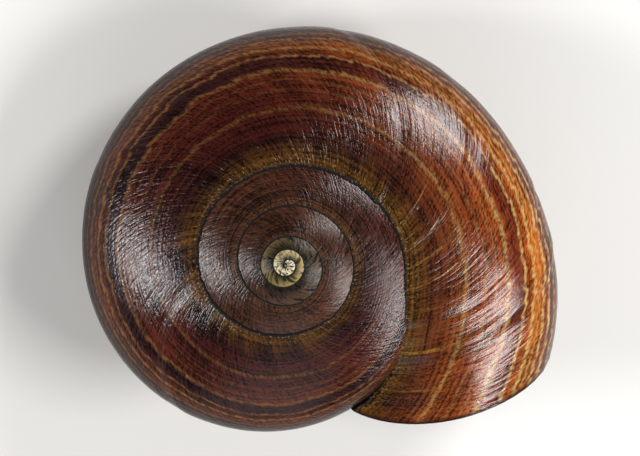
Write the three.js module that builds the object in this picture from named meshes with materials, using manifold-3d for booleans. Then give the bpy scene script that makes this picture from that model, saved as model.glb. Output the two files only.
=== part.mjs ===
// Land snail shell, low-spired and dextral: one hollow tube coiled about an axis and widening as it grows,
// each whorl laid against the one before. It lies on its base with the spire up. Millimetres, +Z up.
import * as THREE from 'three';
import { mergeVertices } from 'three/addons/utils/BufferGeometryUtils.js';
import Module from 'manifold-3d';

// Growth. Turns are counted back from the top end of the lip, which is turn 0.
const LIP_REACH = 37.3; // axis to the outermost point of the lip
const EXPANSION = 1.87; // growth in size over one turn
const COILED_TURNS = 5.5; // apex to lip
const HOLLOW_TURNS = 2; // how far the open tube runs back from the lip
const WALL = 0.026; // wall thickness, as a share of the whorl's reach
const CALLUS = 0.012; // thin glaze on the wall that faces the mouth, as the same share
const NUCLEUS_RADIUS = 0.9; // rounded start of the coil at the apex
const NUCLEUS_DEPTH = 1;
const LIP_AZIMUTH = -65.5; // degrees, seen from above, of the lip's top end

// Section of a whorl in units of its own reach: x is the distance from the axis, y the height from the apex.
const SUTURE = new THREE.Vector2(0.4377, -0.176);
const PERIPHERY = new THREE.Vector2(1, -0.54);
const BASE = new THREE.Vector2(0.6, -0.87);
const UMBILICUS = new THREE.Vector2(0.075, -0.58);

// Handles of the arcs between those points set how full the whorl is.
const SUTURE_HANDLE = new THREE.Vector2(0.22, -0.044);
const PERIPHERY_HANDLE_UP = new THREE.Vector2(0, 0.15);
const PERIPHERY_HANDLE_DOWN = new THREE.Vector2(0, -0.19);
const BASE_HANDLE_OUT = new THREE.Vector2(0.24, 0);
const BASE_HANDLE_IN = new THREE.Vector2(-0.27, 0);
const UMBILICUS_HANDLE = new THREE.Vector2(0, -0.17);
const HIDDEN_FOOT = new THREE.Vector2(0.075, -0.46); // inside the earlier whorl, back to the suture
const HIDDEN_TOP = new THREE.Vector2(0.22, -0.3);

// The growing edge leans back from the suture to the base, and so does the lip. Lags are in turns.
const LAG_PERIPHERY = 0.126;
const LAG_BASE = 0.155;
const LAG_UMBILICUS = 0.14;
const LAG_POWER = 1.25; // over 1, the edge leaves the suture square to it

// Over its last stretch the whorl sinks to the widest line of the whorl before.
const SINKING_TURNS = 0.16;
const SINKING = new THREE.Vector2(0.097, -0.114);
const SINKING_POWER = 1.5; // how fast it fades from the suture to the periphery

// The part of the earlier whorl that forms the inner wall of the mouth, as shares of its section.
const PARIETAL_TOP = 0.3;
const PARIETAL_TOP_SUNK = 0.4;
const PARIETAL_FOOT = 0.83;
const CAVITY_TOP = 0.07; // where the cavity's roof begins on its own section

// The lie of the shell on a flat surface.
const REST_TILT = 12.3; // degrees between the coiling axis and the vertical
const REST_AZIMUTH = 172.4; // direction the spire leans to
const APEX_PLACE = new THREE.Vector3(-8.5, -3.73, 27.1); // low enough that the base is worn flat by 0.2
const FLOOR_SPAN = 100;

// Facets
const STEPS_PER_TURN = 32;
const STEPS_PER_PIECE = 24;
const OPEN_FACETS = 22;
const STEPS_PAST_LIP = 2;
const HIDDEN_FACETS = 4;
const CAVITY_FACETS = 14;
const PARIETAL_FACETS = 7;

const wasm = await Module();
wasm.setup();

const handle = (point, offset) => point.clone().add(offset);
const section = new THREE.CurvePath();
section.add(new THREE.CubicBezierCurve(SUTURE, handle(SUTURE, SUTURE_HANDLE),
  handle(PERIPHERY, PERIPHERY_HANDLE_UP), PERIPHERY));
section.add(new THREE.CubicBezierCurve(PERIPHERY, handle(PERIPHERY, PERIPHERY_HANDLE_DOWN),
  handle(BASE, BASE_HANDLE_OUT), BASE));
section.add(new THREE.CubicBezierCurve(BASE, handle(BASE, BASE_HANDLE_IN),
  handle(UMBILICUS, UMBILICUS_HANDLE), UMBILICUS));
const [atPeriphery, atBase, atUmbilicus] = section.getCurveLengths();
const PERIPHERY_SHARE = atPeriphery / atUmbilicus;
const BASE_SHARE = atBase / atUmbilicus;

// Turns by which the growing edge lags behind its top end, at a share of the way along the section.
function lag(share) {
  if (share < PERIPHERY_SHARE) {
    return LAG_PERIPHERY * (share / PERIPHERY_SHARE) ** LAG_POWER;
  }
  if (share < BASE_SHARE) {
    const below = (share - PERIPHERY_SHARE) / (BASE_SHARE - PERIPHERY_SHARE);
    return THREE.MathUtils.lerp(LAG_PERIPHERY, LAG_BASE, Math.sin(below * Math.PI / 2));
  }
  return THREE.MathUtils.mapLinear(share, BASE_SHARE, 1, LAG_BASE, LAG_UMBILICUS);
}

const sinking = (turn) => THREE.MathUtils.smoothstep(turn, -SINKING_TURNS, 0);

// A point of the section, moved inward by a depth and sunk near the lip.
function sectionPoint(share, turn, depth) {
  const tangent = section.getTangentAt(share);
  const point = section.getPointAt(share);
  point.x += tangent.y * depth;
  point.y -= tangent.x * depth;
  const upper = Math.max(0, 1 - share / PERIPHERY_SHARE);
  return point.addScaledVector(SINKING, sinking(turn) * upper ** SINKING_POWER);
}

// The place in space of a section point at a turn.
function coiled(point, turn) {
  const reach = LIP_REACH * EXPANSION ** (turn + LAG_PERIPHERY);
  const azimuth = THREE.MathUtils.degToRad(LIP_AZIMUTH - 360 * turn);
  return new THREE.Vector3(
    reach * point.x * Math.cos(azimuth),
    reach * point.x * Math.sin(azimuth),
    reach * point.y,
  );
}

// One ring of the filled whorl: its open side, then back to the suture inside the earlier whorl.
function outerRing(turn) {
  const ring = [];
  for (let i = 0; i <= OPEN_FACETS; i++) {
    const share = i / OPEN_FACETS;
    const place = turn - lag(share);
    ring.push(coiled(sectionPoint(share, place, 0), place));
  }
  const start = sectionPoint(1, turn, 0);
  const end = sectionPoint(0, turn, 0);
  const back = new THREE.CubicBezierCurve(start, HIDDEN_FOOT, HIDDEN_TOP, end);
  for (let i = 1; i < HIDDEN_FACETS; i++) {
    const share = i / HIDDEN_FACETS;
    ring.push(coiled(back.getPointAt(share), turn - LAG_UMBILICUS * (1 - share)));
  }
  return ring;
}

// One ring of the cavity: inside the wall of this whorl, then back along the outside of the earlier one.
function cavityRing(turn) {
  const ring = [];
  for (let i = 0; i <= CAVITY_FACETS; i++) {
    const share = THREE.MathUtils.lerp(CAVITY_TOP, 1, i / CAVITY_FACETS);
    const place = turn - lag(share);
    ring.push(coiled(sectionPoint(share, place, WALL), place));
  }
  const top = THREE.MathUtils.lerp(PARIETAL_TOP, PARIETAL_TOP_SUNK, sinking(turn));
  for (let i = 0; i <= PARIETAL_FACETS; i++) {
    const share = THREE.MathUtils.lerp(PARIETAL_FOOT, top, i / PARIETAL_FACETS);
    const place = turn - LAG_UMBILICUS * (1 - i / PARIETAL_FACETS);
    ring.push(coiled(sectionPoint(share, place - 1, -CALLUS), place - 1));
  }
  return ring;
}

// A closed tube through rings of equal length, with a fan at each end. Steps are counted from the lip.
function tube(ringAt, firstStep, lastStep) {
  const rings = [];
  for (let step = firstStep; step <= lastStep; step++) {
    rings.push(ringAt(step / STEPS_PER_TURN));
  }
  const size = rings[0].length;
  const lastRing = (rings.length - 1) * size;
  const points = rings.flat();
  const faces = [];
  for (let a = 0; a < lastRing; a++) {
    const b = (a + 1) % size === 0 ? a + 1 - size : a + 1;
    faces.push(a, a + size, b, b, a + size, b + size);
  }
  for (const [first, turned] of [[0, false], [lastRing, true]]) {
    const middle = new THREE.Vector3();
    for (let j = 0; j < size; j++) {
      middle.addScaledVector(points[first + j], 1 / size);
    }
    points.push(middle);
    for (let j = 0; j < size; j++) {
      const a = first + j;
      const b = first + (j + 1) % size;
      faces.push(points.length - 1, ...(turned ? [b, a] : [a, b]));
    }
  }
  const geometry = new THREE.BufferGeometry().setFromPoints(points);
  geometry.setIndex(faces);
  return geometry;
}

function solid(geometry) {
  return new wasm.Manifold(new wasm.Mesh({
    numProp: 3,
    vertProperties: Float32Array.from(geometry.attributes.position.array),
    triVerts: Uint32Array.from(geometry.index.array),
  }));
}

// Whorls are filled and joined from the apex outwards, then the tube is hollowed from the mouth.
const nucleus = mergeVertices(new THREE.SphereGeometry(NUCLEUS_RADIUS, 12, 8).deleteAttribute('uv')
  .deleteAttribute('normal').translate(0, 0, -NUCLEUS_DEPTH));
let shell = solid(nucleus);
for (let step = -COILED_TURNS * STEPS_PER_TURN; step < 0; step += STEPS_PER_PIECE) {
  shell = shell.add(solid(tube(outerRing, step, Math.min(0, step + STEPS_PER_PIECE + 1))));
}
shell = shell.subtract(solid(tube(cavityRing, -HOLLOW_TURNS * STEPS_PER_TURN, STEPS_PAST_LIP)));

// Laid down on its base, where it touches it is worn flat.
const azimuth = THREE.MathUtils.degToRad(REST_AZIMUTH);
const hinge = new THREE.Vector3(-Math.sin(azimuth), Math.cos(azimuth), 0);
const lie = new THREE.Matrix4().makeRotationAxis(hinge, THREE.MathUtils.degToRad(REST_TILT));
lie.setPosition(APEX_PLACE);
const floor = mergeVertices(new THREE.BoxGeometry(FLOOR_SPAN, FLOOR_SPAN, FLOOR_SPAN).deleteAttribute('uv')
  .deleteAttribute('normal').translate(0, 0, -FLOOR_SPAN / 2));
shell = shell.transform(lie.elements).subtract(solid(floor));

const mesh = shell.getMesh();
const geometry = new THREE.BufferGeometry();
geometry.setAttribute('position', new THREE.BufferAttribute(mesh.vertProperties, mesh.numProp));
geometry.setIndex(new THREE.BufferAttribute(mesh.triVerts, 1));
const horn = new THREE.MeshStandardMaterial({ color: 0x5b2e1c, roughness: 0.35, metalness: 0 });
const part = new THREE.Mesh(geometry, horn);
part.name = 'shell';
const snailShell = new THREE.Group();
snailShell.add(part);
export default snailShell;
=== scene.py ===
import math

import bpy
from mathutils import Matrix, Vector


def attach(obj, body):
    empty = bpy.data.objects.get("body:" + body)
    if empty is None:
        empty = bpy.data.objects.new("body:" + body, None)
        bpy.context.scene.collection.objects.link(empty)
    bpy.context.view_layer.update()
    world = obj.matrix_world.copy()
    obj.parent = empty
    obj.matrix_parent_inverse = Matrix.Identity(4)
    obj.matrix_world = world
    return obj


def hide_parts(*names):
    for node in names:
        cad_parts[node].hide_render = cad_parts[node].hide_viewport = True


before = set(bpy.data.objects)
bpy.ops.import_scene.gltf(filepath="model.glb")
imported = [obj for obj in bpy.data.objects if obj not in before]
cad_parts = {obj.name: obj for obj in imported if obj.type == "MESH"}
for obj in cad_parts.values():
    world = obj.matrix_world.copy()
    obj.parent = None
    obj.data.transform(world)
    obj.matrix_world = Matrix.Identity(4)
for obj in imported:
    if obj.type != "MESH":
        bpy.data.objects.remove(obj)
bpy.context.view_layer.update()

# The shell: one tube of lime under a thin horny skin, built up edge by edge as the snail grows.
# Every turn is larger than the one before by the same factor, and is laid on the widest part of the last.
# Its wall is a ribbon from the suture round the outside to the umbilicus, coiled from apex to lip.
MM = 0.001
growth_law = {
    "Rings": 780,  # along the coil
    "Rows": 56,  # across the ribbon
    "Evenness": 0.8,  # 1 spaces the rings evenly along the coil, 0 evenly by turns
    "Lip crowding": 0.006,
    "Row crowding": 1.6,
    "Lip reach": 37.3 * MM,  # axis to the outermost point of the lip
    "Expansion": 1.87,  # growth over one turn
    "Turns": 5.5,
    "Lip azimuth": math.radians(-65.5),
    # The section, in units of the whorl's own reach: distance from the axis, then height from the apex.
    "Suture": (0.4377, 0, -0.176),
    "Suture handle": (0.22, 0, -0.044),
    "Periphery handle above": (0, 0, 0.15),
    "Periphery": (1, 0, -0.54),
    "Periphery handle below": (0, 0, -0.19),
    "Base handle outside": (0.24, 0, 0),
    "Base": (0.6, 0, -0.87),
    "Base handle inside": (-0.27, 0, 0),
    "Umbilicus handle": (0, 0, -0.17),
    "Umbilicus": (0.075, 0, -0.58),
    # Turns by which the growing edge lags behind its top end.
    "Lag at periphery": 0.126,
    "Lag at base": 0.155,
    "Lag at umbilicus": 0.14,
    "Lag power": 1.05,
    # Over its last stretch the whorl sinks to the widest line of the whorl before.
    "Sinking turns": 0.16,
    "Sinking": (0.097, 0, -0.114),
    "Sinking power": 1.5,
    # The outer side flares a little towards the lip, by this share of its reach, between these turns.
    "Flare": 0.032,
    "Flare start": -0.25,
    "Flare end": -0.126,
    # The suture wanders along the whorl before, and its ragged edge is turned under.
    "Wander": (0.4377, 0, -0.3),
    "Edge raggedness": 0.03,
    "Edge width": 0.02,
    "Edge dip": (-0.025, 0, -0.045),
    "Wall": 0.019,  # in units of the whorl's reach
    "Lip rounding": 0.002,  # in turns
    "Ridge height": 0.07 * MM,
    "Dent height": 0.16 * MM,
    "Rest height": 0.22 * MM,
    "Scar depth": 0.3 * MM,
    # The first whorl starts as a closed bulb, whose suture runs out from the axis.
    "Bulb turns": 0.35,
    "Bulb centre": (0.1, 0, -0.35),
    "Bulb suture turns": 1.3,
    "Bulb suture way": (-0.96, 0, 0.09),
    "Seed": 7.0,
}
REST_TILT = math.radians(12.3)  # between the coiling axis and the vertical, as the shell lies
REST_AZIMUTH = math.radians(172.4)
APEX_PLACE = Vector((-8.5, -3.73, 27.1)) * MM


def add(tree, kind, inputs=None, **settings):
    """Add a node with its settings and inputs.

    An input is a value, a socket, a node, whose first live output is taken, or a list of these.
    A Mix node's inputs go by number, because their names repeat: 2 and 3 are floats, 4 and 5 vectors,
    6 and 7 colours.
    """
    node = tree.nodes.new(kind)
    for name, value in settings.items():
        setattr(node, name, value)
    for key, given in (inputs or {}).items():
        for value in given if isinstance(given, list) else [given]:
            if isinstance(value, bpy.types.Node):
                value = next(output for output in value.outputs if output.enabled)
            if isinstance(value, bpy.types.NodeSocket):
                tree.links.new(value, node.inputs[key])
            else:
                node.inputs[key].default_value = value
    return node


coil = bpy.data.node_groups.new("coiled shell", "GeometryNodeTree")
coil.is_modifier = True
coil.interface.new_socket("Shell", in_out="OUTPUT", socket_type="NodeSocketGeometry")
for name, value in growth_law.items():
    socket_type = {int: "NodeSocketInt", float: "NodeSocketFloat",
                   tuple: "NodeSocketVector"}[type(value)]
    coil.interface.new_socket(name, in_out="INPUT", socket_type=socket_type)
coil.interface.new_socket("Skin", in_out="INPUT", socket_type="NodeSocketMaterial")
law = add(coil, "NodeGroupInput").outputs

# Three arcs make the section: suture to periphery, periphery to base, base to umbilicus.
ARC_STEPS = 48
arcs = []
lengths = []
for start, leave, arrive, end in (
    ("Suture", "Suture handle", "Periphery handle above", "Periphery"),
    ("Periphery", "Periphery handle below", "Base handle outside", "Base"),
    ("Base", "Base handle inside", "Umbilicus handle", "Umbilicus"),
):
    points = {"Start": law[start], "Start Handle": law[leave], "End Handle": law[arrive],
              "End": law[end]}
    arc = add(coil, "GeometryNodeCurvePrimitiveBezierSegment", {"Resolution": ARC_STEPS, **points},
              mode="OFFSET")
    arcs.append(arc)
    lengths.append(add(coil, "GeometryNodeCurveLength", {"Curve": arc}))
section = add(coil, "GeometryNodeJoinGeometry",
              {"Geometry": arcs[::-1]})  # what is linked last comes first
to_base = add(coil, "ShaderNodeMath", {0: lengths[0], 1: lengths[1]}, operation="ADD")
whole = add(coil, "ShaderNodeMath", {0: to_base, 1: lengths[2]}, operation="ADD")
at_periphery = add(coil, "ShaderNodeMath", {0: lengths[0], 1: whole}, operation="DIVIDE")
at_base = add(coil, "ShaderNodeMath", {0: to_base, 1: whole}, operation="DIVIDE")

# The flat ribbon: Y runs from the apex to the lip, X from the suture to the umbilicus.
grid = add(coil, "GeometryNodeMeshGrid",
           {"Size X": 1, "Size Y": 1, "Vertices X": law["Rows"], "Vertices Y": law["Rings"]})
flat = add(coil, "ShaderNodeSeparateXYZ", {"Vector": add(coil, "GeometryNodeInputPosition")}).outputs

# Rings crowd together at the lip, so that its edge can be rounded.
back = add(coil, "ShaderNodeMath", {0: 0.5, 1: flat["Y"]}, operation="SUBTRACT")
back_squared = add(coil, "ShaderNodeMath", {0: back, 1: 2}, operation="POWER")
back_eased = add(coil, "ShaderNodeMath", {0: back, 1: law["Lip crowding"]}, operation="ADD")
back_whole = add(coil, "ShaderNodeMath", {0: 1, 1: law["Lip crowding"]}, operation="ADD")
back_share = add(coil, "ShaderNodeMath", {0: back_squared, 1: back_eased}, operation="DIVIDE")
crowded = add(coil, "ShaderNodeMath", {0: back_share, 1: back_whole}, operation="MULTIPLY")
even_turns = add(coil, "ShaderNodeMath", {0: law["Evenness"], 1: law["Turns"]}, operation="MULTIPLY")
whole_growth = add(coil, "ShaderNodeMath", {0: law["Expansion"], 1: even_turns}, operation="POWER")
apex_size = add(coil, "ShaderNodeMath", {0: 1, 1: whole_growth}, operation="DIVIDE")
size_range = add(coil, "ShaderNodeMath", {0: 1, 1: apex_size}, operation="SUBTRACT")
size_lost = add(coil, "ShaderNodeMath", {0: crowded, 1: size_range}, operation="MULTIPLY")
ring_size = add(coil, "ShaderNodeMath", {0: 1, 1: size_lost}, operation="SUBTRACT")
ring_log = add(coil, "ShaderNodeMath", {0: ring_size, 1: law["Expansion"]}, operation="LOGARITHM")
turn = add(coil, "ShaderNodeMath", {0: ring_log, 1: law["Evenness"]}, operation="DIVIDE")

# The innermost whorls are only seen from above, so their ribbon stops under the whorl that covers it.
row = add(coil, "ShaderNodeMath", {0: flat["X"], 1: 0.5}, operation="ADD")
row_crowded = add(coil, "ShaderNodeMath", {0: row, 1: law["Row crowding"]}, operation="POWER")
COVERED_TURN = -3.6
UNCOVERED_TURN = -3.1
COVERED_WIDTH = 0.5  # share of the whole ribbon
ribbon_width = add(coil, "ShaderNodeMapRange", {"Value": turn, "From Min": COVERED_TURN,
                                                "From Max": UNCOVERED_TURN, "To Min": COVERED_WIDTH})
share = add(coil, "ShaderNodeMath", {0: row_crowded, 1: ribbon_width}, operation="MULTIPLY")
upper = add(coil, "ShaderNodeMapRange", {"Value": share, "From Min": 0, "From Max": at_periphery})
lower = add(coil, "ShaderNodeMapRange", {"Value": share, "From Min": at_periphery, "From Max": at_base})
basal = add(coil, "ShaderNodeMapRange", {"Value": share, "From Min": at_base, "From Max": 1})

# The growing edge leans back, so a ring is a growth line and not a straight cut.
upper_power = add(coil, "ShaderNodeMath", {0: upper, 1: law["Lag power"]}, operation="POWER")
upper_lag = add(coil, "ShaderNodeMath", {0: upper_power, 1: law["Lag at periphery"]},
                operation="MULTIPLY")
lower_angle = add(coil, "ShaderNodeMath", {0: lower, 1: math.pi / 2}, operation="MULTIPLY")
lower_sine = add(coil, "ShaderNodeMath", {0: lower_angle}, operation="SINE")
lower_span = add(coil, "ShaderNodeMath", {0: law["Lag at base"], 1: law["Lag at periphery"]},
                 operation="SUBTRACT")
basal_span = add(coil, "ShaderNodeMath", {0: law["Lag at umbilicus"], 1: law["Lag at base"]},
                 operation="SUBTRACT")
lower_lag = add(coil, "ShaderNodeMath", {0: lower_sine, 1: lower_span, 2: upper_lag},
                operation="MULTIPLY_ADD")
lag = add(coil, "ShaderNodeMath", {0: basal, 1: basal_span, 2: lower_lag}, operation="MULTIPLY_ADD")
place = add(coil, "ShaderNodeMath", {0: turn, 1: lag}, operation="SUBTRACT")

# Millimetres along the coil at the middle of the whorl, which growth lines and stripes are spaced by.
MIDDLE_SHARE = 0.7  # of the whorl's reach
growth = add(coil, "ShaderNodeMath", {0: law["Expansion"], 1: turn}, operation="POWER")
middle_round = 2 * math.pi * MIDDLE_SHARE * growth_law["Lip reach"] / MM
arc_scale = middle_round / math.log(growth_law["Expansion"])
arc_length = add(coil, "ShaderNodeMath", {0: growth, 1: arc_scale}, operation="MULTIPLY")
across_lower = add(coil, "ShaderNodeMath", {0: upper, 1: lower}, operation="ADD")
across = add(coil, "ShaderNodeMath", {0: across_lower, 1: basal}, operation="ADD")

# The section's point, sunk near the lip, wandering at the suture and turned under at its ragged edge.
drawn = add(coil, "GeometryNodeSampleCurve", {"Curves": section, "Factor": share}, mode="FACTOR",
            use_all_curves=True, data_type="FLOAT_VECTOR").outputs["Position"]
sinking_turns = add(coil, "ShaderNodeMath", {0: law["Sinking turns"], 1: -1}, operation="MULTIPLY")
sunk = add(coil, "ShaderNodeMapRange", {"Value": place, "From Min": sinking_turns, "From Max": 0},
           interpolation_type="SMOOTHSTEP")
from_periphery = add(coil, "ShaderNodeMath", {0: 1, 1: upper}, operation="SUBTRACT")
sink_fade = add(coil, "ShaderNodeMath", {0: from_periphery, 1: law["Sinking power"]}, operation="POWER")
sink_share = add(coil, "ShaderNodeMath", {0: sunk, 1: sink_fade}, operation="MULTIPLY")
sink = add(coil, "ShaderNodeVectorMath", {0: law["Sinking"], "Scale": sink_share}, operation="SCALE")
WANDER_TURNS = 3.4
WANDER_SPAN = 0.1
WANDER_POWER = 3  # how fast the wander dies out away from the suture
wander_place = add(coil, "ShaderNodeMapRange",
                   {"Value": place, "From Min": -WANDER_TURNS, "From Max": 0})
wander_curve = add(coil, "ShaderNodeFloatCurve", {"Value": wander_place})
wander_points = wander_curve.mapping.curves[0].points
wander_points[0].location = (0, 0.3)
wander_points[1].location = (1, 0.5)
# How far out the suture lies at a turn, as a share of its own distance from the axis.
for wander_turn, wander_shift in (
    (-3.1, -0.06), (-2.83, 0.01), (-2.5, -0.08), (-2.05, 0.03), (-1.83, -0.04), (-1.6, 0.0), (-1.29, 0.04),
    (-1.05, -0.015), (-0.89, -0.09), (-0.65, -0.04), (-0.45, -0.08), (-0.2, -0.025), (-0.1, -0.015),
):
    wander_points.new(1 + wander_turn / WANDER_TURNS, 0.5 + wander_shift / (2 * WANDER_SPAN))
wander_curve.mapping.update()
wander_amount = add(coil, "ShaderNodeMapRange",
                    {"Value": wander_curve, "To Min": -WANDER_SPAN, "To Max": WANDER_SPAN})
RAG_LENGTH = 1.6  # millimetres along the suture
rag_coordinate = add(coil, "ShaderNodeMath", {0: arc_length, 1: law["Seed"]}, operation="ADD")
rag_noise = add(coil, "ShaderNodeTexNoise",
                {"W": rag_coordinate, "Scale": 1 / RAG_LENGTH, "Detail": 2.0}, noise_dimensions="1D")
rag_centred = add(coil, "ShaderNodeMath", {0: rag_noise.outputs[0], 1: 0.5}, operation="SUBTRACT")
wander_ragged = add(coil, "ShaderNodeMath", {0: rag_centred, 1: law["Edge raggedness"],
                                             2: wander_amount}, operation="MULTIPLY_ADD")
wander_fade = add(coil, "ShaderNodeMath", {0: from_periphery, 1: WANDER_POWER}, operation="POWER")
wander_share = add(coil, "ShaderNodeMath", {0: wander_ragged, 1: wander_fade}, operation="MULTIPLY")
wander = add(coil, "ShaderNodeVectorMath", {0: law["Wander"], "Scale": wander_share}, operation="SCALE")
edge = add(coil, "ShaderNodeMapRange", {"Value": upper, "From Min": 0, "From Max": law["Edge width"],
                                        "To Min": 1, "To Max": 0})
edge_curve = add(coil, "ShaderNodeMath", {0: edge, 1: 2}, operation="POWER")
edge_dip = add(coil, "ShaderNodeVectorMath", {0: law["Edge dip"], "Scale": edge_curve},
               operation="SCALE")
sunk_point = add(coil, "ShaderNodeVectorMath", {0: drawn, 1: sink}, operation="ADD")
wandered_point = add(coil, "ShaderNodeVectorMath", {0: sunk_point, 1: wander}, operation="ADD")
edged_point = add(coil, "ShaderNodeVectorMath", {0: wandered_point, 1: edge_dip}, operation="ADD")

# The first whorl: its suture leaves the axis, and the tube opens out of a rounded blind end.
first_turn = add(coil, "ShaderNodeMath", {0: law["Turns"], 1: -1}, operation="MULTIPLY")
suture_free = add(coil, "ShaderNodeMath", {0: first_turn, 1: law["Bulb suture turns"]}, operation="ADD")
suture_hold = add(coil, "ShaderNodeMapRange",
                  {"Value": turn, "From Min": suture_free, "From Max": first_turn})
suture_fade = add(coil, "ShaderNodeMath", {0: from_periphery, 1: suture_hold}, operation="MULTIPLY")
suture_pull = add(coil, "ShaderNodeVectorMath", {0: law["Bulb suture way"], "Scale": suture_fade},
                  operation="SCALE")
pulled_point = add(coil, "ShaderNodeVectorMath", {0: edged_point, 1: suture_pull}, operation="ADD")
bulb_end = add(coil, "ShaderNodeMath", {0: first_turn, 1: law["Bulb turns"]}, operation="ADD")
bulb_rest = add(coil, "ShaderNodeMapRange",
                {"Value": turn, "From Min": bulb_end, "From Max": first_turn})
bulb_square = add(coil, "ShaderNodeMath", {0: bulb_rest, 1: 2}, operation="POWER")
bulb_open = add(coil, "ShaderNodeMath", {0: 1, 1: bulb_square}, operation="SUBTRACT")
bulb_round = add(coil, "ShaderNodeMath", {0: bulb_open, 1: 0.5}, operation="POWER")
section_point = add(coil, "ShaderNodeMix", {0: bulb_round, 4: law["Bulb centre"], 5: pulled_point},
                    data_type="VECTOR")

# Coiling: the point grows with its turn and goes round the axis.
reach_turn = add(coil, "ShaderNodeMath", {0: place, 1: law["Lag at periphery"]}, operation="ADD")
reach_growth = add(coil, "ShaderNodeMath", {0: law["Expansion"], 1: reach_turn}, operation="POWER")
flare_place = add(coil, "ShaderNodeMapRange", {"Value": place, "From Min": law["Flare start"],
                                               "From Max": law["Flare end"]},
                  interpolation_type="SMOOTHSTEP")
flare_fade = add(coil, "ShaderNodeMath", {0: upper, 1: 2}, operation="POWER")
flare_share = add(coil, "ShaderNodeMath", {0: flare_place, 1: flare_fade}, operation="MULTIPLY")
flared = add(coil, "ShaderNodeMath", {0: flare_share, 1: law["Flare"], 2: 1}, operation="MULTIPLY_ADD")
plain_reach = add(coil, "ShaderNodeMath", {0: reach_growth, 1: law["Lip reach"]}, operation="MULTIPLY")
reach = add(coil, "ShaderNodeMath", {0: plain_reach, 1: flared}, operation="MULTIPLY")
azimuth = add(coil, "ShaderNodeMath", {0: place, 1: -2 * math.pi, 2: law["Lip azimuth"]},
              operation="MULTIPLY_ADD")
grown_point = add(coil, "ShaderNodeVectorMath", {0: section_point.outputs[1], "Scale": reach},
                  operation="SCALE")
coiled_point = add(coil, "ShaderNodeVectorRotate", {"Vector": grown_point, "Angle": azimuth},
                   rotation_type="Z_AXIS")

# Old knocks: small pits where the skin was chipped.
# Each has its turn, its place across the upper side, and its radius in millimetres.
ACROSS_MM = 24.0  # suture to periphery on the last whorl
scars = 0.0
for scar_turn, scar_across, scar_radius in (
    (-0.222, 0.17, 0.7), (-0.746, 0.6, 0.6), (-0.518, 0.07, 0.5),
    (-0.5, 0.12, 0.35), (-1.18, 0.42, 0.4), (-0.33, 0.5, 0.45),
):
    scar_arc = arc_scale * growth_law["Expansion"] ** scar_turn
    scar_along = add(coil, "ShaderNodeMath", {0: arc_length, 1: scar_arc}, operation="SUBTRACT")
    scar_over = add(coil, "ShaderNodeMath", {0: across, 1: scar_across}, operation="SUBTRACT")
    scar_over_mm = add(coil, "ShaderNodeMath", {0: scar_over, 1: ACROSS_MM}, operation="MULTIPLY")
    scar_offset = add(coil, "ShaderNodeCombineXYZ", {"X": scar_along, "Y": scar_over_mm})
    scar_distance = add(coil, "ShaderNodeVectorMath", {0: scar_offset},
                        operation="LENGTH").outputs["Value"]
    scar_depth = add(coil, "ShaderNodeMapRange", {"Value": scar_distance, "From Min": scar_radius,
                                                  "From Max": 0}, interpolation_type="SMOOTHSTEP")
    scars = add(coil, "ShaderNodeMath", {0: scars, 1: scar_depth}, operation="ADD")

# Each point keeps its place on the ribbon, which the relief and the skin are laid out by.
traits = {"turn": turn, "arc": arc_length, "across": across, "reach": reach, "row": row, "scar": scars}
sheet = grid.outputs["Mesh"]
stored = {}
for name, value in traits.items():
    sheet = add(coil, "GeometryNodeStoreNamedAttribute",
                {"Geometry": sheet, "Name": name, "Value": value}, data_type="FLOAT", domain="POINT")
    stored[name] = add(coil, "GeometryNodeInputNamedAttribute", {"Name": name}, data_type="FLOAT")
sheet = add(coil, "GeometryNodeSetPosition", {"Geometry": sheet, "Position": coiled_point})
sheet = add(coil, "GeometryNodeFlipFaces", {"Mesh": sheet})

# Growth ridges run along the rings, and slow dents break up the gloss. Both shrink with the whorl.
RIDGE_LENGTH = 3.2  # millimetres along the coil
DENT_LENGTH = 11 * MM
ridge_place = add(coil, "ShaderNodeCombineXYZ",
                  {"X": stored["arc"], "Y": stored["across"], "Z": law["Seed"]})
ridges = add(coil, "ShaderNodeTexNoise",
             {"Vector": ridge_place, "Scale": 1 / RIDGE_LENGTH, "Detail": 1.5}, noise_dimensions="3D")
ridge_height = add(coil, "ShaderNodeMath", {0: ridges.outputs[0], 1: 0.5}, operation="SUBTRACT")
ridge = add(coil, "ShaderNodeMath", {0: ridge_height, 1: law["Ridge height"]}, operation="MULTIPLY")
dents = add(coil, "ShaderNodeTexNoise", {"Vector": add(coil, "GeometryNodeInputPosition"),
                                         "Scale": 1 / DENT_LENGTH, "Detail": 1.0}, noise_dimensions="3D")
dent_height = add(coil, "ShaderNodeMath", {0: dents.outputs[0], 1: 0.5}, operation="SUBTRACT")
waved = add(coil, "ShaderNodeMath", {0: dent_height, 1: law["Dent height"], 2: ridge},
            operation="MULTIPLY_ADD")

# Where growth rested the edge thickened, and the new shell starts a little lower.
REST_TURNS = 1.4
rest_place = add(coil, "ShaderNodeMapRange",
                 {"Value": stored["turn"], "From Min": -REST_TURNS, "From Max": 0})
rest_curve = add(coil, "ShaderNodeFloatCurve", {"Value": rest_place})
rest_points = rest_curve.mapping.curves[0].points
rest_points[0].location = (0, 0.5)
rest_points[1].location = (1, 0.5)
REST_PROFILE = ((-0.03, 0), (-0.004, 0.5), (0.001, -0.4), (0.02, 0))  # turns from the rest, and level
for rest_turn, rest_rise in (
    (-1.12, 0.5), (-0.71, 1), (-0.48, 0.5), (-0.27, 0.9), (-0.19, 0.6), (-0.1, 0.9), (-0.063, 1),
):
    for lead, level in REST_PROFILE:
        rest_points.new(1 + (rest_turn + lead) / REST_TURNS, 0.5 + level * rest_rise)
rest_curve.mapping.update()
rest_height = add(coil, "ShaderNodeMath", {0: rest_curve, 1: 0.5}, operation="SUBTRACT")
rested = add(coil, "ShaderNodeMath", {0: rest_height, 1: law["Rest height"], 2: waved},
             operation="MULTIPLY_ADD")
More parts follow.
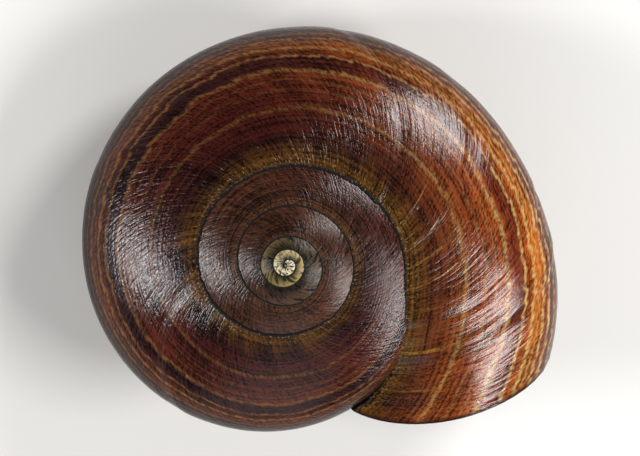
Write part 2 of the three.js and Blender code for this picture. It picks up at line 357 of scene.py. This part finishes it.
scar_fall = add(coil, "ShaderNodeMath", {0: stored["scar"], 1: law["Scar depth"]}, operation="MULTIPLY")
relief = add(coil, "ShaderNodeMath", {0: rested, 1: scar_fall}, operation="SUBTRACT")
relief_size = add(coil, "ShaderNodeMath", {0: stored["reach"], 1: law["Lip reach"]}, operation="DIVIDE")
relief_grown = add(coil, "ShaderNodeMath", {0: relief, 1: relief_size}, operation="MULTIPLY")
outward = add(coil, "GeometryNodeInputNormal")
relief_offset = add(coil, "ShaderNodeVectorMath", {0: outward, "Scale": relief_grown}, operation="SCALE")
outer_face = add(coil, "GeometryNodeSetPosition", {"Geometry": sheet, "Offset": relief_offset})

# The inner face lies a wall's thickness in, and meets the outer face at suture, umbilicus and lip.
SUTURE_EDGE = 0.12  # shares of the rows, where the wall has its whole thickness
UMBILICUS_EDGE = 0.95
WELD_DISTANCE = 0.002 * MM
lip_near = add(coil, "ShaderNodeMath", {0: stored["turn"], 1: law["Lip rounding"]}, operation="DIVIDE")
lip_depth = add(coil, "ShaderNodeMapRange", {"Value": lip_near, "From Min": -1, "From Max": 0})
lip_square = add(coil, "ShaderNodeMath", {0: lip_depth, 1: 2}, operation="POWER")
lip_rest = add(coil, "ShaderNodeMath", {0: 1, 1: lip_square}, operation="SUBTRACT")
lip_round = add(coil, "ShaderNodeMath", {0: lip_rest, 1: 0.5}, operation="POWER")
at_suture = add(coil, "ShaderNodeMapRange",
                {"Value": stored["row"], "From Min": 0, "From Max": SUTURE_EDGE})
at_umbilicus = add(coil, "ShaderNodeMapRange",
                   {"Value": stored["row"], "From Min": 1, "From Max": UMBILICUS_EDGE})
ribbon_edges = add(coil, "ShaderNodeMath", {0: at_suture, 1: at_umbilicus}, operation="MULTIPLY")
sheet_edges = add(coil, "ShaderNodeMath", {0: ribbon_edges, 1: lip_round}, operation="MULTIPLY")
wall = add(coil, "ShaderNodeMath", {0: stored["reach"], 1: law["Wall"]}, operation="MULTIPLY")
thickness = add(coil, "ShaderNodeMath", {0: wall, 1: sheet_edges}, operation="MULTIPLY")
inset = add(coil, "ShaderNodeMath", {0: thickness, 1: -1}, operation="MULTIPLY")
inset_offset = add(coil, "ShaderNodeVectorMath", {0: outward, "Scale": inset}, operation="SCALE")
inner_face = add(coil, "GeometryNodeSetPosition", {"Geometry": outer_face, "Offset": inset_offset})
inner_face = add(coil, "GeometryNodeFlipFaces", {"Mesh": inner_face})
faces = []
for face, inside in ((outer_face, 0.0), (inner_face, 1.0)):
    marked = {"Geometry": face, "Name": "inside", "Value": inside}
    faces.append(add(coil, "GeometryNodeStoreNamedAttribute", marked, data_type="FLOAT", domain="POINT"))
both_faces = add(coil, "GeometryNodeJoinGeometry", {"Geometry": faces})
welded = add(coil, "GeometryNodeMergeByDistance", {"Geometry": both_faces, "Distance": WELD_DISTANCE})

# Laid on its base, which is worn flat where it touches, with some wall left above the wear.
WORN_WALL = 0.25 * MM
UNWORN = -1  # metres, past every point, so that only heights change
hinge = Vector((-math.sin(REST_AZIMUTH), math.cos(REST_AZIMUTH), 0))
lie = Matrix.Rotation(REST_TILT, 3, hinge)
laid = add(coil, "GeometryNodeTransform",
           {"Geometry": welded, "Translation": APEX_PLACE, "Rotation": lie.to_euler()})
inside_face = add(coil, "GeometryNodeInputNamedAttribute", {"Name": "inside"}, data_type="FLOAT")
wear_height = add(coil, "ShaderNodeMath", {0: inside_face, 1: WORN_WALL}, operation="MULTIPLY")
wear = add(coil, "ShaderNodeCombineXYZ", {"X": UNWORN, "Y": UNWORN, "Z": wear_height})
laid_point = add(coil, "ShaderNodeVectorMath", {0: add(coil, "GeometryNodeInputPosition"), 1: wear},
                 operation="MAXIMUM")
worn = add(coil, "GeometryNodeSetPosition", {"Geometry": laid, "Position": laid_point})
smooth = add(coil, "GeometryNodeSetShadeSmooth", {"Geometry": worn})
realized = add(coil, "GeometryNodeRealizeInstances", {"Geometry": smooth})
skinned = add(coil, "GeometryNodeSetMaterial", {"Geometry": realized, "Material": law["Skin"]})
add(coil, "NodeGroupOutput", {"Shell": skinned})


def linear(hex_colour):
    """An sRGB hex colour as linear RGBA."""
    channels = [int(hex_colour[i:i + 2], 16) / 255 for i in (1, 3, 5)]
    return (*(c / 12.92 if c <= 0.04045 else ((c + 0.055) / 1.055) ** 2.4 for c in channels), 1.0)


# Periostracum: the horny skin of the shell, laid down in growth lines and banded along the coil.
# To the eye it is a dark lacquer over warm brown, with wavering gold lines along the coil and fine streaks
# along every growth line.
skin = bpy.data.materials.new("periostracum")
skin.use_nodes = True
horn = skin.node_tree
horn.nodes.clear()
turn_at = add(horn, "ShaderNodeAttribute", attribute_name="turn").outputs["Fac"]
arc_at = add(horn, "ShaderNodeAttribute", attribute_name="arc").outputs["Fac"]
across_at = add(horn, "ShaderNodeAttribute", attribute_name="across").outputs["Fac"]
scar_at = add(horn, "ShaderNodeAttribute", attribute_name="scar").outputs["Fac"]
inside_at = add(horn, "ShaderNodeAttribute", attribute_name="inside").outputs["Fac"]

# The skin spread flat, in millimetres: X along the coil, Y across the whorl.
# Spiral lines keep their share of every whorl, so they are laid out at the width of the last one.
last_mm = add(horn, "ShaderNodeMath", {0: across_at, 1: ACROSS_MM}, operation="MULTIPLY")
whorl_size = add(horn, "ShaderNodeMath", {0: arc_at, 1: arc_scale}, operation="DIVIDE")
across_mm = add(horn, "ShaderNodeMath", {0: last_mm, 1: whorl_size}, operation="MULTIPLY")
spread = add(horn, "ShaderNodeCombineXYZ", {"X": arc_at, "Y": across_mm})
last_spread = add(horn, "ShaderNodeCombineXYZ", {"X": arc_at, "Y": last_mm})
# Each mark has its size along and across in millimetres, and its detail. Growth lines and grain are drawn
# about 0.3 mm wide, because finer ones wouldn't show in the render.
marks = {}
for mark, along_mm, wide_mm, detail in (
    ("slow waver", 9.0, 60.0, 1.0),
    ("waver", 2.4, 30.0, 1.0),
    ("jag", 0.7, 8.0, 1.0),
    ("season", 5.0, 60.0, 2.0),
    ("streak", 0.6, 4.0, 3.0),
    ("growth line", 0.28, 1.5, 2.0),
    ("spiral line", 16.0, 0.4, 2.0),
    ("bead", 0.8, 1.4, 1.0),
    ("grain", 0.3, 0.3, 1.0),
    ("pit", 0.5, 0.9, 1.0),
):
    place_on_skin = last_spread if mark == "spiral line" else spread
    stretch = add(horn, "ShaderNodeVectorMath", {0: place_on_skin, 1: (1 / along_mm, 1 / wide_mm, 0)},
                  operation="MULTIPLY")
    noise = add(horn, "ShaderNodeTexNoise", {"Vector": stretch, "Scale": 1.0, "Detail": detail},
                noise_dimensions="2D")
    marks[mark] = noise.outputs[0]

# Bands waver where the growing edge moved up and down, and they lie further out on the older shell.
waver = 0.0
for mark, waver_size in (("slow waver", 0.05), ("waver", 0.035), ("jag", 0.03)):
    centred = add(horn, "ShaderNodeMath", {0: marks[mark], 1: 0.5}, operation="SUBTRACT")
    waver = add(horn, "ShaderNodeMath", {0: centred, 1: waver_size, 2: waver}, operation="MULTIPLY_ADD")
waver_free = add(horn, "ShaderNodeMapRange",
                 {"Value": across_at, "From Min": 0.1, "From Max": 0.5, "To Min": 0.2})
drift = add(horn, "ShaderNodeMapRange", {"Value": turn_at, "From Min": -1.05, "From Max": -0.75,
                                         "To Min": -0.06, "To Max": 0})
drifted = add(horn, "ShaderNodeMath", {0: waver, 1: drift}, operation="ADD")
band_place = add(horn, "ShaderNodeMath", {0: drifted, 1: waver_free, 2: across_at},
                 operation="MULTIPLY_ADD")
BAND_RANGE = 1.6
band_share = add(horn, "ShaderNodeMath", {0: band_place, 1: BAND_RANGE}, operation="DIVIDE")

# Ground colours across the whorl, from 0 at the suture to 1 at the periphery and on towards the base:
# those of the grown shell, then those of the newest shell by the lip.
mature_ground = (
    (0.0, "#2b1a0a"), (0.05, "#34210c"), (0.09, "#2c170b"),
    (0.13, "#1f0a0a"), (0.19, "#22090a"), (0.23, "#30100c"), (0.33, "#33110c"), (0.45, "#36120c"),
    (0.57, "#40180f"), (0.605, "#220d0f"), (0.685, "#261010"), (0.715, "#32110d"), (0.76, "#3a160c"),
    (0.81, "#40190c"), (0.85, "#260e0c"), (0.9, "#1f0d0d"), (1.05, "#22110f"), (1.3, "#3a2416"),
    (1.6, "#453019"),
)
lip_ground = (
    (0.0, "#2e200b"), (0.08, "#3f2a0d"), (0.11, "#3e210e"),
    (0.16, "#401d0f"), (0.27, "#522610"), (0.36, "#663212"), (0.45, "#602810"), (0.57, "#783813"),
    (0.62, "#662a10"), (0.69, "#521e0f"), (0.74, "#823d11"), (0.8, "#8a4713"), (0.85, "#642a0f"),
    (0.905, "#42160d"), (1.05, "#48200f"), (1.3, "#4c2c14"), (1.6, "#4c331b"),
)
grounds = []
for ground in (mature_ground, lip_ground):
    ramp = add(horn, "ShaderNodeValToRGB", {"Fac": band_share})
    stops = ramp.color_ramp.elements
    stops.remove(stops[1])
    stops[0].position = 0.0
    stops[0].color = linear(ground[0][1])
    for place_across, colour in ground[1:]:
        stops.new(place_across / BAND_RANGE).color = linear(colour)
    grounds.append(ramp.outputs["Color"])
towards_lip = add(horn, "ShaderNodeMapRange", {"Value": turn_at, "From Min": -0.45, "From Max": -0.1},
                  interpolation_type="SMOOTHSTEP")
whorl_ground = add(horn, "ShaderNodeMix", {0: towards_lip, 6: grounds[0], 7: grounds[1]},
                   data_type="RGBA").outputs[2]

# The ground is streaked by the growth lines and, more faintly, drawn out along the coil.
streak_sum = 0.0
for mark, streak_weight in (
    ("season", 0.8), ("streak", 0.8), ("growth line", 0.8), ("grain", 1.3), ("spiral line", 1.5),
):
    streak_sum = add(horn, "ShaderNodeMath", {0: marks[mark], 1: streak_weight, 2: streak_sum},
                     operation="MULTIPLY_ADD")
streak_light = add(horn, "ShaderNodeMapRange", {"Value": streak_sum, "From Min": 2.2, "From Max": 3.05,
                                                "To Min": 0.3, "To Max": 2.2})
streaked_ground = add(horn, "ShaderNodeVectorMath", {0: whorl_ground, "Scale": streak_light},
                      operation="SCALE")

# Gold lines along the coil: place, half width, strength on the grown shell and by the lip.
lines = add(horn, "ShaderNodeValToRGB", {"Fac": band_place})
line_stops = lines.color_ramp.elements
line_stops.remove(line_stops[1])
line_stops[0].color = (0, 0, 0, 1)
for line_place, half_width, mature_strength, lip_strength in (
    (0.346, 0.02, 0.4, 0.3), (0.46, 0.015, 0.2, 0.2), (0.525, 0.012, 0.2, 0.2), (0.594, 0.022, 0.7, 0.6),
    (0.702, 0.014, 0.8, 0.9), (0.764, 0.018, 0.9, 1.0), (0.8, 0.012, 0.3, 0.5), (0.838, 0.016, 0.55, 1.0),
    (0.884, 0.014, 0.35, 0.9), (0.935, 0.012, 0.15, 0.5),
):
    line_stops.new(line_place - half_width).color = (0, 0, 0, 1)
    line_stops.new(line_place).color = (mature_strength, lip_strength, 0, 1)
    line_stops.new(line_place + half_width).color = (0, 0, 0, 1)
line_strengths = add(horn, "ShaderNodeSeparateColor", {"Color": lines.outputs["Color"]}).outputs
lip_lines = add(horn, "ShaderNodeMapRange", {"Value": line_strengths["Green"], "From Max": 0.75})
lines_open = add(horn, "ShaderNodeMapRange", {"Value": turn_at, "From Min": -0.27, "From Max": -0.08})
line_strength = add(horn, "ShaderNodeMix", {0: lines_open, 2: line_strengths["Red"], 3: lip_lines})
speckled_bead = add(horn, "ShaderNodeMath", {0: marks["bead"], 1: marks["grain"]}, operation="ADD")
beads = add(horn, "ShaderNodeMapRange",
            {"Value": speckled_bead, "From Min": 0.75, "From Max": 1.2, "To Min": 0.2})
on_last_whorl = add(horn, "ShaderNodeMapRange",
                    {"Value": turn_at, "From Min": -1.2, "From Max": -0.95, "To Min": 0.12})
beaded_strength = add(horn, "ShaderNodeMath", {0: line_strength, 1: beads}, operation="MULTIPLY")
gold_strength = add(horn, "ShaderNodeMath", {0: beaded_strength, 1: on_last_whorl}, operation="MULTIPLY")
gold = add(horn, "ShaderNodeMix", {0: towards_lip, 6: linear("#8c5f30"), 7: linear("#c9a060")},
           data_type="RGBA").outputs[2]
lined = add(horn, "ShaderNodeMix", {0: gold_strength, 6: streaked_ground, 7: gold},
            data_type="RGBA").outputs[2]

# Where growth paused, a gold thread crosses the newest shell from the suture.
# Each has its turn and its half width in turns.
PAUSE_TURNS = 0.3
pause_share = add(horn, "ShaderNodeMath", {0: marks["jag"], 1: 0.004, 2: turn_at},
                  operation="MULTIPLY_ADD")
pause_place = add(horn, "ShaderNodeMapRange",
                  {"Value": pause_share, "From Min": -PAUSE_TURNS, "From Max": 0})
pauses = add(horn, "ShaderNodeValToRGB", {"Fac": pause_place})
pause_stops = pauses.color_ramp.elements
pause_stops.remove(pause_stops[1])
pause_stops[0].color = (0, 0, 0, 1)
for pause_turn, half_width in (
    (-0.225, 0.001), (-0.168, 0.0018), (-0.142, 0.0015), (-0.07, 0.0018), (-0.03, 0.001),
):
    pause_stops.new(1 + (pause_turn - half_width) / PAUSE_TURNS).color = (0, 0, 0, 1)
    pause_stops.new(1 + pause_turn / PAUSE_TURNS).color = (1, 1, 1, 1)
    pause_stops.new(1 + (pause_turn + half_width) / PAUSE_TURNS).color = (0, 0, 0, 1)
pause_reach = add(horn, "ShaderNodeMapRange",
                  {"Value": across_at, "From Min": 0.42, "From Max": 0.2, "To Max": 0.6})
pause_beads = add(horn, "ShaderNodeMath", {0: pause_reach, 1: beads}, operation="MULTIPLY")
pause_strength = add(horn, "ShaderNodeMath", {0: pauses.outputs["Color"], 1: pause_beads},
                     operation="MULTIPLY")
paused = add(horn, "ShaderNodeMix", {0: pause_strength, 6: lined, 7: linear("#b98a45")},
             data_type="RGBA").outputs[2]

# Beside the suture the skin is thin and olive, fading out in streaks.
# A little lime shows there as pale flecks, and in the pits.
olive_patchy = add(horn, "ShaderNodeMath", {0: marks["season"], 1: -0.3, 2: band_place},
                   operation="MULTIPLY_ADD")
olive_ragged = add(horn, "ShaderNodeMath", {0: marks["streak"], 1: -0.08, 2: olive_patchy},
                   operation="MULTIPLY_ADD")
olive_end = add(horn, "ShaderNodeMapRange", {"Value": olive_ragged, "From Min": 0.02, "From Max": -0.15},
                interpolation_type="SMOOTHSTEP")
olive_streak = add(horn, "ShaderNodeMapRange", {"Value": marks["streak"], "From Min": 0.3,
                                                "From Max": 0.7, "To Min": 0.25, "To Max": 0.8})
olive_age = add(horn, "ShaderNodeMapRange",
                {"Value": turn_at, "From Min": -1.5, "From Max": -0.8, "To Min": 0.1})
olive_aged = add(horn, "ShaderNodeMath", {0: olive_end, 1: olive_age}, operation="MULTIPLY")
olive_strength = add(horn, "ShaderNodeMath", {0: olive_aged, 1: olive_streak}, operation="MULTIPLY")
olive_light = add(horn, "ShaderNodeVectorMath", {0: linear("#4c2f10")[:3], "Scale": streak_light},
                  operation="SCALE")
olive = add(horn, "ShaderNodeMix", {0: olive_strength, 6: paused, 7: olive_light},
            data_type="RGBA").outputs[2]
fleck = add(horn, "ShaderNodeMapRange", {"Value": marks["grain"], "From Min": 0.7, "From Max": 0.76})
fleck_zone = add(horn, "ShaderNodeMapRange", {"Value": across_at, "From Min": 0.1, "From Max": 0.03,
                                              "To Min": 0.0, "To Max": 0.7})
fleck_strength = add(horn, "ShaderNodeMath", {0: fleck, 1: fleck_zone}, operation="MULTIPLY")
scar_grain = add(horn, "ShaderNodeMath", {0: scar_at, 1: marks["grain"]}, operation="ADD")
scar_fleck = add(horn, "ShaderNodeMapRange", {"Value": scar_grain, "From Min": 1.1, "From Max": 1.35})
pale_strength = add(horn, "ShaderNodeMath", {0: fleck_strength, 1: scar_fleck}, operation="MAXIMUM")
flecked = add(horn, "ShaderNodeMix", {0: pale_strength, 6: olive, 7: linear("#b7a782")},
              data_type="RGBA").outputs[2]

# The skin of the earlier whorls has faded to brown between dark rings: place, half width and light.
old_skin = add(horn, "ShaderNodeMapRange",
               {"Value": turn_at, "From Min": -1.05, "From Max": -1.5, "To Max": 0.7})
old_brown = add(horn, "ShaderNodeVectorMath", {0: linear("#40281b")[:3], "Scale": streak_light},
                operation="SCALE")
rings = add(horn, "ShaderNodeValToRGB", {"Fac": band_place})
ring_stops = rings.color_ramp.elements
ring_stops.remove(ring_stops[1])
ring_stops[0].color = (1, 1, 1, 1)
for ring_place, ring_half_width, ring_light in (
    (0.125, 0.02, 0.3), (0.185, 0.015, 0.25), (0.245, 0.02, 0.45),
):
    ring_stops.new(ring_place - ring_half_width).color = (1, 1, 1, 1)
    ring_stops.new(ring_place).color = (ring_light, ring_light, ring_light, 1)
    ring_stops.new(ring_place + ring_half_width).color = (1, 1, 1, 1)
ringed = add(horn, "ShaderNodeVectorMath", {0: old_brown, 1: rings.outputs["Color"]},
             operation="MULTIPLY")
aged = add(horn, "ShaderNodeMix", {0: old_skin, 6: flecked, 7: ringed}, data_type="RGBA").outputs[2]

# The first whorls are worn: pale at the nucleus, then olive, then brown, and darker towards each suture.
SPIRE_TURNS = 5.5
spire_share = add(horn, "ShaderNodeMapRange",
                  {"Value": turn_at, "From Min": -SPIRE_TURNS, "From Max": 0})
spire_ramp = add(horn, "ShaderNodeValToRGB", {"Fac": spire_share})
spire_stops = spire_ramp.color_ramp.elements
spire_stops.remove(spire_stops[1])
spire_stops[0].color = linear("#a8a294")
for spire_turn, colour in ((-4.7, "#b8ac88"), (-4.1, "#9c8850"), (-3.75, "#6b5c38"), (-3.3, "#4a3d29"),
                           (-2.9, "#432e22"), (-2.4, "#3b221a")):
    spire_stops.new(1 + spire_turn / SPIRE_TURNS).color = linear(colour)
spire_shade = add(horn, "ShaderNodeMapRange", {"Value": across_at, "From Min": 0.02, "From Max": 0.55,
                                               "To Min": 0.16, "To Max": 1.35},
                  interpolation_type="SMOOTHSTEP")
pit = add(horn, "ShaderNodeMapRange",
          {"Value": marks["pit"], "From Min": 0.36, "From Max": 0.5, "To Min": 0.1})
nucleus = add(horn, "ShaderNodeMapRange", {"Value": turn_at, "From Min": -4.2, "From Max": -4.7})
crumb = add(horn, "ShaderNodeMapRange", {"Value": marks["grain"], "From Min": 0.38, "From Max": 0.58,
                                         "To Min": 0.05, "To Max": 1.4})
worn_pit = add(horn, "ShaderNodeMix", {0: nucleus, 2: pit, 3: crumb})
spire_light = add(horn, "ShaderNodeMath", {0: spire_shade, 1: worn_pit}, operation="MULTIPLY")
spire_colour = add(horn, "ShaderNodeVectorMath", {0: spire_ramp.outputs["Color"], "Scale": spire_light},
                   operation="SCALE")
past_spire = add(horn, "ShaderNodeMapRange", {"Value": turn_at, "From Min": -3.1, "From Max": -2.2},
                 interpolation_type="SMOOTHSTEP")
coil_colour = add(horn, "ShaderNodeMix", {0: past_spire, 6: spire_colour, 7: aged},
                  data_type="RGBA").outputs[2]

# Dirt and painted shade fill each suture crease as a ragged line of near-black colour.
suture_dark_room = add(horn, "ShaderNodeMath", {0: whorl_size, 1: 0.35}, operation="POWER")
suture_dark_place = add(horn, "ShaderNodeMath", {0: last_mm, 1: suture_dark_room}, operation="MULTIPLY")
suture_dark_edge = add(horn, "ShaderNodeMath", {0: marks["grain"], 1: 0.5, 2: suture_dark_place},
                operation="MULTIPLY_ADD")
suture_dirt_and_shade = add(horn, "ShaderNodeMapRange", {"Value": suture_dark_edge, "From Min": 1.05, "From Max": 0.75})
dirt_and_shade_painted = add(horn, "ShaderNodeMix", {0: suture_dirt_and_shade, 6: coil_colour, 7: linear("#060403")},
              data_type="RGBA").outputs[2]

# The lip's rim is dark. Inside, the lime shows as a pale bluish glaze, browner where the skin turns in.
rim = add(horn, "ShaderNodeMapRange", {"Value": turn_at, "From Min": -0.005, "From Max": -0.001})
rimmed = add(horn, "ShaderNodeMix", {0: rim, 6: dirt_and_shade_painted, 7: linear("#2b140b")},
             data_type="RGBA").outputs[2]
inside_lip = add(horn, "ShaderNodeMapRange", {"Value": turn_at, "From Min": -0.06, "From Max": -0.005},
                 interpolation_type="SMOOTHSTEP")
inside_colour = add(horn, "ShaderNodeMix", {0: inside_lip, 6: linear("#b9b0b4"), 7: linear("#3a2016")},
                    data_type="RGBA").outputs[2]
open_turns = add(horn, "ShaderNodeMapRange", {"Value": turn_at, "From Min": -2.5, "From Max": -2})
inside_seen = add(horn, "ShaderNodeMath", {0: inside_at, 1: open_turns}, operation="MULTIPLY")
wall_colour = add(horn, "ShaderNodeMix", {0: inside_seen, 6: rimmed, 7: inside_colour},
                  data_type="RGBA").outputs[2]

# Growth lines too fine to model break up the gloss: grained on the grown shell, and smoother by the lip.
grained_height = 0.0
for mark, height_weight in (("streak", 0.7), ("growth line", 0.9), ("grain", 0.4), ("spiral line", 0.4)):
    grained_height = add(horn, "ShaderNodeMath", {0: marks[mark], 1: height_weight, 2: grained_height},
                         operation="MULTIPLY_ADD")
drawn_height = add(horn, "ShaderNodeMath", {0: marks["streak"], 1: 1.3}, operation="MULTIPLY")
near_lip = add(horn, "ShaderNodeMapRange",
               {"Value": turn_at, "From Min": -0.4, "From Max": -0.15, "To Max": 0.75})
line_height = add(horn, "ShaderNodeMix", {0: near_lip, 2: grained_height, 3: drawn_height})
line_bump = add(horn, "ShaderNodeBump", {"Height": line_height, "Strength": 1.0, "Distance": 0.06 * MM})
worn_gloss = add(horn, "ShaderNodeMapRange", {"Value": turn_at, "From Min": -1.3, "From Max": -0.1,
                                              "To Min": 0.22, "To Max": 0.16})
gloss_marks = add(horn, "ShaderNodeMapRange", {"Value": marks["growth line"], "From Min": 0.3,
                                               "From Max": 0.7, "To Min": -0.07, "To Max": 0.07})
skin_gloss = add(horn, "ShaderNodeMath", {0: worn_gloss, 1: gloss_marks}, operation="ADD")
# The skin is made matt along the suture's dark line of dirt and painted shade.
gloss = add(horn, "ShaderNodeMix", {0: suture_dirt_and_shade, 2: skin_gloss, 3: 0.9})
skin_shader = add(horn, "ShaderNodeBsdfPrincipled", {"Base Color": wall_colour, "Roughness": gloss,
                                                     "Normal": line_bump, "IOR": 1.56,
                                                     "Specular IOR Level": 0.26})
add(horn, "ShaderNodeOutputMaterial", {"Surface": skin_shader})

seed = bpy.data.objects.new("growing_shell", bpy.data.meshes.new("growing_shell"))
bpy.context.collection.objects.link(seed)
grower = seed.modifiers.new("growth", "NODES")
grower.node_group = coil
for item in coil.interface.items_tree:
    if item.in_out == "INPUT":
        grower[item.identifier] = skin if item.name == "Skin" else growth_law[item.name]
grown = seed.evaluated_get(bpy.context.evaluated_depsgraph_get())
shell = bpy.data.objects.new("snail_shell", bpy.data.meshes.new_from_object(grown))
bpy.data.objects.remove(seed)
bpy.context.collection.objects.link(shell)
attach(shell, "root")
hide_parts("shell")

# The floor: one plain sheet of pale card, wide enough to fill the view.
# It lies just under the base, so that the two flat faces don't coincide.
FLOOR_SPAN = 3.0  # metres from the middle to a side
FLOOR_GAP = 0.05 * MM
floor_mesh = bpy.data.meshes.new("floor")
corners = [(x * FLOOR_SPAN, y * FLOOR_SPAN, -FLOOR_GAP) for x, y in ((-1, -1), (1, -1), (1, 1), (-1, 1))]
floor_mesh.from_pydata(corners, [], [(0, 1, 2, 3)])
floor = bpy.data.objects.new("floor", floor_mesh)
bpy.context.collection.objects.link(floor)
# Pale card: uncoated board, which to the eye is matt and nearly white.
card = bpy.data.materials.new("pale card")
card.use_nodes = True
card_shader = card.node_tree.nodes["Principled BSDF"].inputs
card_shader["Base Color"].default_value = linear("#efede9")
card_shader["Roughness"].default_value = 0.9
floor_mesh.materials.append(card)

# Studio light: three soft boxes round the shell, each mirrored in the slope that faces it, and a weak fill.
# Each lamp has its azimuth and height in degrees, its width and depth in metres, and its power in watts.
world = bpy.data.worlds.new("studio")
world.use_nodes = True
world.node_tree.nodes["Background"].inputs["Color"].default_value = linear("#8f9296")
world.node_tree.nodes["Background"].inputs["Strength"].default_value = 0.22
bpy.context.scene.world = world
LAMP_DISTANCE = 0.5  # metres
for lamp_name, lamp_azimuth, lamp_height, lamp_width, lamp_depth, lamp_power in (
    ("left_box", 186, 28, 0.14, 0.12, 1.7),
    ("upper_right_box", 46, 33, 0.18, 0.12, 1.4),
    ("lower_right_box", -23, 38, 0.26, 0.11, 1.9),
    ("lower_fill", -95, 30, 0.35, 0.35, 0.4),
):
    lamp_data = bpy.data.lights.new(lamp_name, "AREA")
    lamp_data.shape = "RECTANGLE"
    lamp_data.size = lamp_width
    lamp_data.size_y = lamp_depth
    lamp_data.energy = lamp_power
    lamp = bpy.data.objects.new(lamp_name, lamp_data)
    turn_round = math.radians(lamp_azimuth)
    rise = math.radians(lamp_height)
    level_share = math.cos(rise)
    towards = Vector((math.cos(turn_round) * level_share, math.sin(turn_round) * level_share,
                      math.sin(rise)))
    lamp.location = towards * LAMP_DISTANCE
    lamp.rotation_euler = towards.to_track_quat("Z", "Y").to_euler()
    bpy.context.collection.objects.link(lamp)

# The camera: a long lens far above the shell, which looks down on the spire, nearly along the coiling axis.
# It is aimed to the right of the apex and above it, so that the whole shell is in the middle of the view.
VIEW_LEAN = Vector((-0.048, 0.0424, 1))  # towards the camera, with the coiling axis upright
CAMERA_LENS = 600  # millimetres
CAMERA_DISTANCE = 1.4  # metres
AIM_RIGHT = 4.4 * MM
AIM_ABOVE = 4.9 * MM
camera_axis = (lie @ VIEW_LEAN).normalized()
camera_up = lie @ Vector((0, 1, 0))
camera_side = camera_up.cross(camera_axis).normalized()
camera_top = camera_axis.cross(camera_side)
camera_turn = Matrix((camera_side, camera_top, camera_axis)).transposed()
aim = APEX_PLACE + camera_side * AIM_RIGHT + camera_top * AIM_ABOVE
camera_data = bpy.data.cameras.new("camera")
camera_data.lens = CAMERA_LENS
camera = bpy.data.objects.new("camera", camera_data)
camera.matrix_world = Matrix.Translation(aim + camera_axis * CAMERA_DISTANCE) @ camera_turn.to_4x4()
bpy.context.collection.objects.link(camera)
bpy.context.scene.camera = camera
bpy.context.scene.view_settings.view_transform = "Standard"
